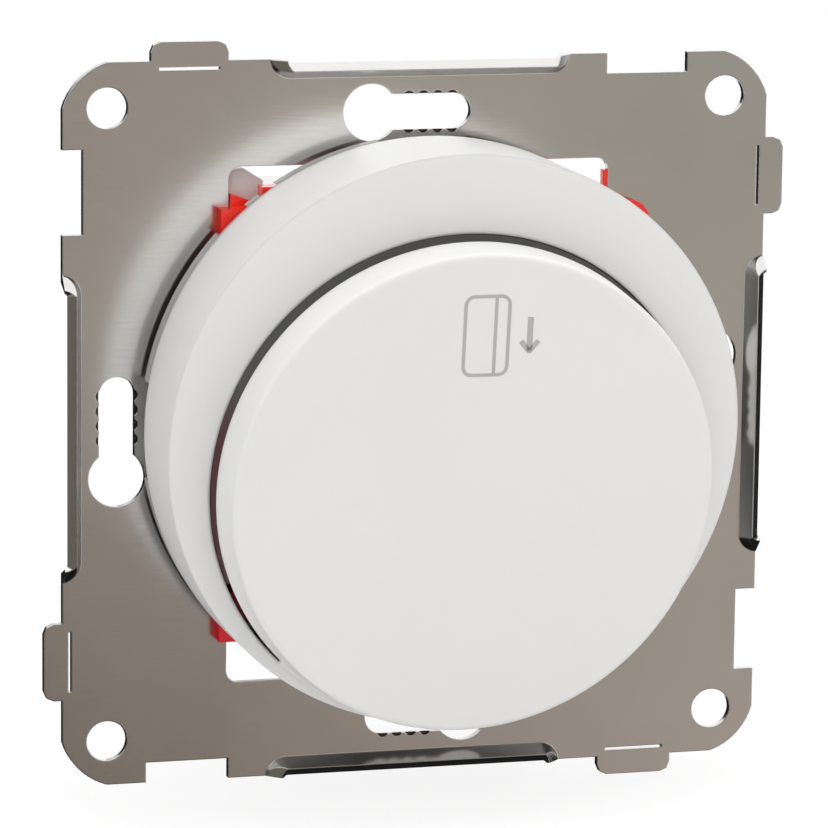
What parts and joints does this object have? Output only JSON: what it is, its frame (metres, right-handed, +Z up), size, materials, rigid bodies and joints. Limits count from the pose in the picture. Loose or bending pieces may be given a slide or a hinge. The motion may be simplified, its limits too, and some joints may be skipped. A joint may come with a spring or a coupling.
{
  "type": "hotel key card switch",
  "caption": "Flush wall switch with a round white card cover, sloped card pocket, sprung card lever, switch insert and steel carrier plate with bent edge flanges.",
  "frame": {"origin": "centre of the four corner holes, on the back face of the carrier plate", "axes": "+Y into the wall, square to the plate; -Y out of the wall towards the user; +Z up, towards the side the card enters; +X to the right seen from the front"},
  "size_m": [0.0746, 0.0497, 0.0746],
  "materials": {
    "plate_steel": "nickel-look sheet with a fine rolled grain",
    "lock_red": "clear red moulded plastic",
    "collar_grey": "mid grey moulded plastic",
    "cover_white": "satin white moulded plastic",
    "guide_dark": "black moulded plastic",
    "lever_white": "natural acetal",
    "pin_steel": "ground steel",
    "housing_white": "light grey-white moulded plastic",
    "spring_steel": "drawn spring wire and strip",
    "contact_brass": "stamped brass",
    "contact_silver": "silver contact rivet",
    "key_grey": "grey moulded plastic"
  },
  "bodies": {
    "base": {"mounting_plate": "plate_steel", "lock_frame": "lock_red", "cover_collar": "collar_grey", "card_cover": "cover_white", "card_guide": "guide_dark", "lever_pin": "pin_steel", "mechanism_housing": "housing_white", "mechanism_cap": "housing_white", "fixed_tips": "contact_silver", "contact_strip_left": "contact_brass", "contact_strip_right": "contact_brass", "clamp_spring_left": "spring_steel", "clamp_spring_right": "spring_steel", "plunger_spring": "spring_steel"},
    "lever": {"card_lever": "lever_white"},
    "plunger": {"switch_plunger": "lever_white", "contact_bridge": "contact_brass", "bridge_tips": "contact_silver", "bridge_spring": "spring_steel"},
    "key_left": {"release_key_left": "key_grey"},
    "key_right": {"release_key_right": "key_grey"}
  },
  "joints": [
    {"name": "lever_swing", "type": "hinge", "parent": "base", "child": "lever", "pos_m": [0, -0.0088, 0.0115], "axis": [1, 0, 0], "range_deg": [0, 10.5], "stiffness_Nm_per_rad": 0.02, "springref_deg": -8.59},
    {"name": "plunger_slide", "type": "slide", "parent": "base", "child": "plunger", "axis": [0, 1, 0], "range_m": [0, 0.0023], "stiffness_N_per_m": 300, "springref_m": -0.003, "deforming": ["plunger_spring"]},
    {"name": "key_left_push", "type": "slide", "parent": "base", "child": "key_left", "axis": [0, -1, 0], "range_m": [0, 0.0015], "stiffness_N_per_m": 800, "springref_m": -0.001},
    {"name": "key_right_push", "type": "slide", "parent": "base", "child": "key_right", "axis": [0, -1, 0], "range_m": [0, 0.0015], "stiffness_N_per_m": 800, "springref_m": -0.001}
  ],
  "couplings": [
    {"joint": "lever_swing", "follows": "plunger_slide", "rad_per_m": 79.6}
  ]
}
